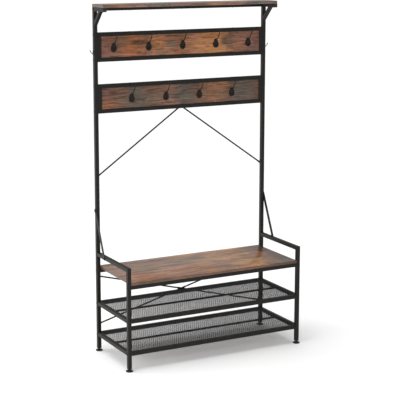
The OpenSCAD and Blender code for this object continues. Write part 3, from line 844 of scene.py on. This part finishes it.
def cast_coat_hook():
    """Egg-shaped plate, a long arm that rises to a small ball, and a short one that curls up under it."""
    shape = Shape()
    plate = pill(17 * MM, -6.5 * MM, 11 * MM, 12 * MM)
    layers = [(0.3 * MM, 0), (0, 0.4 * MM), (0, 2.3 * MM), (0.9 * MM, 3.1 * MM)]
    shape.slab(plate, layers, plane(Vector(), X_AXIS, Z_AXIS))
    long_arm = arm_path(130 * MM, 35, 70, (1.5 * MM, 13 * MM), 26)
    shape.sweep(long_arm, flared(long_arm, 2.45 * MM, 2.0 * MM, 9 * MM))
    ball(shape, long_arm[-1], 3.25 * MM)
    turns = [math.radians(-160 + 175 * k / 20) for k in range(21)]
    short_arm = [Vector((0, -(12.3 + 10 * math.cos(t)) * MM, (-7 + 10 * math.sin(t)) * MM)) for t in turns]
    shape.sweep(short_arm, flared(short_arm, 2.9 * MM, 1.2 * MM, 6 * MM))
    ball(shape, short_arm[-1], 3.75 * MM)
    return cast(shape, "coat_hook", 0.9 * MM)


def cast_side_hook():
    """Oblong plate with one wire arm and a ball."""
    shape = Shape()
    plate = pill(6 * MM, -9 * MM, 6 * MM, 9 * MM)
    layers = [(0.3 * MM, 0), (0, 0.3 * MM), (0, 1.6 * MM), (0.5 * MM, 2.0 * MM)]
    shape.slab(plate, layers, plane(Vector(), X_AXIS, Z_AXIS))
    arm = arm_path(28 * MM, 20, 70, (1 * MM, -5 * MM), 16)
    shape.sweep(arm, flared(arm, 2 * MM, 1.0 * MM, 4 * MM))
    ball(shape, arm[-1], 2.75 * MM)
    return cast(shape, "side_hook", 0.6 * MM)


def add_hooks():
    """Coat hooks on the panels and a hook on each outer face, as single castings."""
    skin = cast_coat_hook()
    skin.materials.append(materials["hook_metal"])
    for node in nodes:
        if node.startswith(("upper_hook_", "lower_hook_")):
            low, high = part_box(node)
            piece = add_piece("cast_" + node, skin, "hook_metal", stands_for=[node])
            piece.location = ((low.x + high.x) / 2, high.y, low.z + COAT_HOOK_LIFT)
    skin = cast_side_hook()
    skin.materials.append(materials["hook_metal"])
    for side, node in ((-1, "left_side_hook"), (1, "right_side_hook")):
        low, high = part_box(node)
        piece = add_piece("cast_" + node, skin, "hook_metal", stands_for=[node])
        inner = low.x if side > 0 else high.x
        piece.location = (inner, (low.y + high.y) / 2, low.z + SIDE_HOOK_LIFT)
        piece.rotation_euler = (0, 0, side * math.pi / 2)


STUD_TOP = 40.0
THREAD_FOOT = 9.3
THREAD_PITCH = 1.25
RIM_R = 17
RIBS = 24
RIB_HEIGHT = 0.4
FOOT_SIDES = 96


def foot_profile():
    """(radius, height) in mm, up the pad, the cone and the threaded stud."""
    pad = [(0.0, 0.1), (14.5, 0.0), (16.8, 0.4), (17.6, 1.2), (17.6, 4.9), (16.9, 5.8), (15.2, 6.3)]
    cone = [(9.5, 8.0), (6.6, 8.7), (5.8, 8.98), (4.4, 9.0)]
    thread = []
    for turn in range(int((STUD_TOP - THREAD_FOOT - 0.3) / THREAD_PITCH)):
        height = THREAD_FOOT + turn * THREAD_PITCH
        thread += [(3.5, height), (3.95, height + THREAD_PITCH / 2)]
    return pad + cone + thread + [(3.4, STUD_TOP - 0.5), (2.8, STUD_TOP)]


def add_feet():
    """Levelling feet: a pad with a ribbed rim, a cone and a threaded stud."""
    turns = [2 * math.pi * k / FOOT_SIDES for k in range(FOOT_SIDES)]
    for node in nodes:
        if not node.endswith("_foot"):
            continue
        low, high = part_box(node)
        middle = (low + high) / 2
        rings = []
        for radius, height in foot_profile():
            rib = RIB_HEIGHT if radius > RIM_R else 0
            centre = Vector((middle.x, middle.y, low.z + height * MM))
            ring = []
            for t in turns:
                reach = max(radius + rib * math.cos(RIBS * t), 0.01) * MM
                ring.append(centre + Vector((reach * math.cos(t), reach * math.sin(t), 0)))
            rings.append(ring)
        shape = Shape()
        shape.rings(rings)
        add_piece("levelling_" + node, shape, slot_of[node], body=node, smooth_angle=50, stands_for=[node])


TUBE_HALF = 10 * MM
TUBE_CORNER = 2.5 * MM
PLUG_INSET = 1.3 * MM
PLUG_DEPTH = 9 * MM


def add_arm_caps():
    """Plastic plugs that close the front ends of the two shelf arms."""
    shape = Shape()
    for node in ("left_shelf_arm", "right_shelf_arm"):
        low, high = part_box(node)
        size = high.x - low.x
        plug = plane(Vector((low.x, low.y + PLUG_DEPTH, low.z)), X_AXIS, Z_AXIS)
        layers = [(PLUG_INSET, 0), (PLUG_INSET, PLUG_DEPTH - 0.1 * MM)]
        rim = ((0.15, 0), (0.15, 0.6), (0.6, 1.1), (2.5, 1.3))
        layers += [(inset * MM, PLUG_DEPTH + proud * MM) for inset, proud in rim]
        shape.slab(rounded_box(size, size, TUBE_CORNER), layers, plug)
    add_piece("arm_end_caps", shape, "black_plastic")


def square_loop(centre, axis):
    """Points round a square tube's outline, across the given axis (0, 1 or 2)."""
    outline = rounded_box(2 * TUBE_HALF, 2 * TUBE_HALF, TUBE_CORNER, steps=3)(0)
    loop = []
    for i, (a, b) in enumerate(outline):
        c, d = outline[(i + 1) % len(outline)]
        parts = 7 if math.hypot(c - a, d - b) > TUBE_HALF else 1
        steps = [k / parts for k in range(parts)]
        loop += [(a + (c - a) * k - TUBE_HALF, b + (d - b) * k - TUBE_HALF) for k in steps]
    others = [i for i in range(3) if i != axis]
    points = []
    for a, b in loop:
        point = Vector(centre)
        point[others[0]] += a
        point[others[1]] += b
        points.append(point)
    return points


BEAD_R = 0.75
BEAD_SPREAD = 0.2


def weld_loops():
    """Where the beads run: tube ends on their posts, panel frame corners and the armrests' mitres."""
    loops = []
    rails = [f"{level}_shelf_{side}_rail" for level in ("lower", "upper") for side in ("left", "right")]
    for node in rails + ["left_armrest", "right_armrest", "left_shelf_arm", "right_shelf_arm"]:
        low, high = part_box(node)
        ends = (low.y, high.y) if node in rails else (high.y,)
        loops += [square_loop(((low.x + high.x) / 2, y, high.z - TUBE_HALF), 1) for y in ends]
    for node in ("lower_panel_frame", "upper_panel_frame"):
        low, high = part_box(node)
        for x in (low.x + TUBE_HALF, high.x - TUBE_HALF):
            joints = (low.z + 2 * TUBE_HALF, high.z - 2 * TUBE_HALF)
            loops += [square_loop((x, (low.y + high.y) / 2, z), 2) for z in joints]
    for node in ("left_armrest", "right_armrest"):
        low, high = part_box(node)
        centre = Vector(((low.x + high.x) / 2, low.y + TUBE_HALF, high.z - TUBE_HALF))
        loops.append([centre + Vector((p.x, p.y, -p.y)) for p in square_loop((0, 0, 0), 2)])
    return loops


def add_welds():
    """Small uneven beads round the welded tube joints."""
    rng = random.Random(11)
    shape = Shape()
    for loop in weld_loops():
        radii = [(BEAD_R + BEAD_SPREAD * rng.random()) * MM for _ in loop]
        shape.sweep(loop, radii, sides=6, closed=True)
    add_piece("weld_beads", shape, "black_frame", smooth_angle=60)


def polygon_ring(radius, height, count, sides, matrix):
    """Points on a count-sided outline, sides in all, at one height."""
    ring = []
    part = 2 * math.pi / count
    for k in range(sides):
        t = 2 * math.pi * k / sides
        reach = radius * math.cos(part / 2) / math.cos(t % part - part / 2)
        ring.append(matrix @ Vector((reach * math.cos(t), reach * math.sin(t), height)))
    return ring


def socket_head(shape, top, direction, length, head_r, shank_r, head_h, socket=0.55, sides=36):
    """Domed button head with a hexagon socket, and its plain shank."""
    m = frame_along(top, direction)
    dome = [(0.62, 0.0), (0.8, 0.08), (0.93, 0.28), (1.0, 0.62), (1.0, 1.0)]
    rings = [polygon_ring(head_r * socket, head_h * 0.62, 6, sides, m),
             polygon_ring(head_r * socket, head_h * 0.04, 6, sides, m)]
    rings += [circle_ring(head_r * r, head_h * h, sides, m) for r, h in dome]
    rings += [circle_ring(shank_r, head_h, sides, m), circle_ring(shank_r, length, sides, m)]
    shape.rings(rings)


def cross_head(shape, top, direction, length, head_r, shank_r, head_h, sides=32):
    """Pan head with a cross recess pressed into it."""
    m = frame_along(top, direction)

    def recess(scale, height):
        ring = []
        for k in range(sides):
            t = 2 * math.pi * k / sides
            arm = 0.34 + 0.66 * max(0.0, math.cos(4 * t)) ** 2
            ring.append(m @ Vector((scale * arm * math.cos(t), scale * arm * math.sin(t), height)))
        return ring

    rings = [recess(head_r * 0.25, head_h * 0.8), recess(head_r * 0.6, head_h * 0.05)]
    dome = [(0.72, 0.02), (0.88, 0.18), (0.98, 0.45), (1.0, 0.8), (0.98, 1.0)]
    rings += [circle_ring(head_r * r, head_h * h, sides, m) for r, h in dome]
    rings += [circle_ring(shank_r, head_h, sides, m), circle_ring(shank_r, length, sides, m)]
    shape.rings(rings)


def fastener_axis(points):
    """(middle of the head's top, direction of the shank, length, head radius) of one bolt or screw."""
    low = Vector([min(p[i] for p in points) for i in range(3)])
    high = Vector([max(p[i] for p in points) for i in range(3)])
    middle, size = (low + high) / 2, high - low
    axes = (X_AXIS, Y_AXIS, Z_AXIS)

    def off_axis(point, along):
        return ((point - middle) - (point - middle).project(along)).length

    spans = [max(off_axis(p, a) for p in points) for a in axes]
    head_r = min(spans)
    axis = spans.index(head_r)
    wide = [p for p in points if off_axis(p, axes[axis]) > 0.9 * head_r]
    at_top = sum(p[axis] for p in wide) / len(wide) > middle[axis]
    top = middle.copy()
    top[axis] = high[axis] if at_top else low[axis]
    return top, axes[axis] * (-1 if at_top else 1), size[axis], head_r


# Shank radii and head heights as in the CAD. Its fasteners are told apart by size: the post bolts are long,
# the side strips' bolts have large heads, and the rivet where the X rods cross has the smallest head.
BOLT_R = 3 * MM
SMALL_BOLT_R = 2.5 * MM
SCREW_R = 2 * MM
HEAD_H = 2.5 * MM
STRIP_HEAD_H = 3.5 * MM
RIVET_HEAD_H = 1.4 * MM
SCREW_HEAD_H = 2 * MM
LONG_FROM = 30 * MM
STRIP_HEAD_FROM = 5.5 * MM
RIVET_HEAD_BELOW = 4.9 * MM


def rivet(shape, top, direction, length, head_r):
    """Low round head, a shank and a chamfer at its end."""
    dome = [(0.001, 0), (0.5, 0.05), (0.8, 0.3), (0.97, 0.75), (1, 1)]
    profile = [(head_r * r, RIVET_HEAD_H * h) for r, h in dome]
    shank = [(SMALL_BOLT_R, RIVET_HEAD_H), (SMALL_BOLT_R, length - 0.3 * MM), (0.8 * SMALL_BOLT_R, length)]
    shape.lathe(profile + shank, frame_along(top, direction))


def add_fasteners():
    """Bolts get domed socket heads and screws cross heads, each where the CAD has it."""
    bolts = Shape()
    for points in islands("frame_bolts"):
        top, direction, length, head_r = fastener_axis(points)
        if head_r < RIVET_HEAD_BELOW:
            rivet(bolts, top, direction, length, head_r)
        else:
            shank_r = BOLT_R if length > LONG_FROM else SMALL_BOLT_R
            head_h = STRIP_HEAD_H if head_r > STRIP_HEAD_FROM else HEAD_H
            socket_head(bolts, top, direction, length, head_r, shank_r, head_h)
    add_piece("socket_bolts", bolts, "black_fasteners", stands_for=["frame_bolts"])
    for node in ("hook_screws", "board_screws"):
        screws = Shape()
        for points in islands(node):
            top, direction, length, head_r = fastener_axis(points)
            cross_head(screws, top, direction, length, head_r, SCREW_R, SCREW_HEAD_H)
        add_piece("cross_" + node, screws, slot_of[node], stands_for=[node])


# A diamond of the mesh, a strand's width and thickness, and the part of a diamond's length that a bond takes
MESH_LONG = 24 * MM
MESH_SHORT = 12 * MM
STRAND = (2.5 * MM, 1.1 * MM)
STRAND_TILT = math.radians(30)
BOND = 0.2


def add_shelf_mesh(node):
    """Expanded steel mesh: zigzag strands from front to back that meet their neighbours in short bonds."""
    low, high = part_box(node)
    level = (low.z + high.z) / 2
    rows = round((high.x - low.x) / (MESH_SHORT / 2))
    pitch = (high.x - low.x) / rows
    cells = round((high.y - low.y) / MESH_LONG)
    step = (high.y - low.y) / cells
    half_w, half_t = STRAND[0] / 2, STRAND[1] / 2
    across = Vector((math.cos(STRAND_TILT), 0, math.sin(STRAND_TILT)))
    through = Vector((-math.sin(STRAND_TILT), 0, math.cos(STRAND_TILT)))
    corners = [half_w * a * across + half_t * b * through for a, b in ((-1, 1), (1, 1), (1, -1), (-1, -1))]
    bends = ((BOND / 2, -1), (0.5 - BOND / 2, 1), (0.5 + BOND / 2, 1), (1 - BOND / 2, -1))
    stops = [(cell + part, lean) for cell in range(cells) for part, lean in bends]
    stops = [(0, -1)] + stops + [(cells, -1)]
    shape = Shape()
    for row in range(rows):
        x = low.x + (row + 0.5) * pitch
        sway = (1 if row % 2 else -1) * (pitch / 2 - half_w * 0.4)
        middles = [Vector((x + sway * lean, low.y + at * step, level)) for at, lean in stops]
        shape.rings([[middle + c for c in corners] for middle in middles])
    add_piece("expanded_" + node, shape, slot_of[node], smooth_angle=20, stands_for=[node])


# ---------- build ----------

add_camera()
add_studio()
materials = make_materials()
for name, node in nodes.items():
    node.data.materials.clear()
    node.data.materials.append(materials.get(name) or materials[slot_of[name]])
add_boards()
add_back_rods()
add_side_strips()
add_hooks()
add_feet()
add_arm_caps()
add_welds()
add_fasteners()
for shelf in ("lower_shelf_mesh", "upper_shelf_mesh"):
    add_shelf_mesh(shelf)
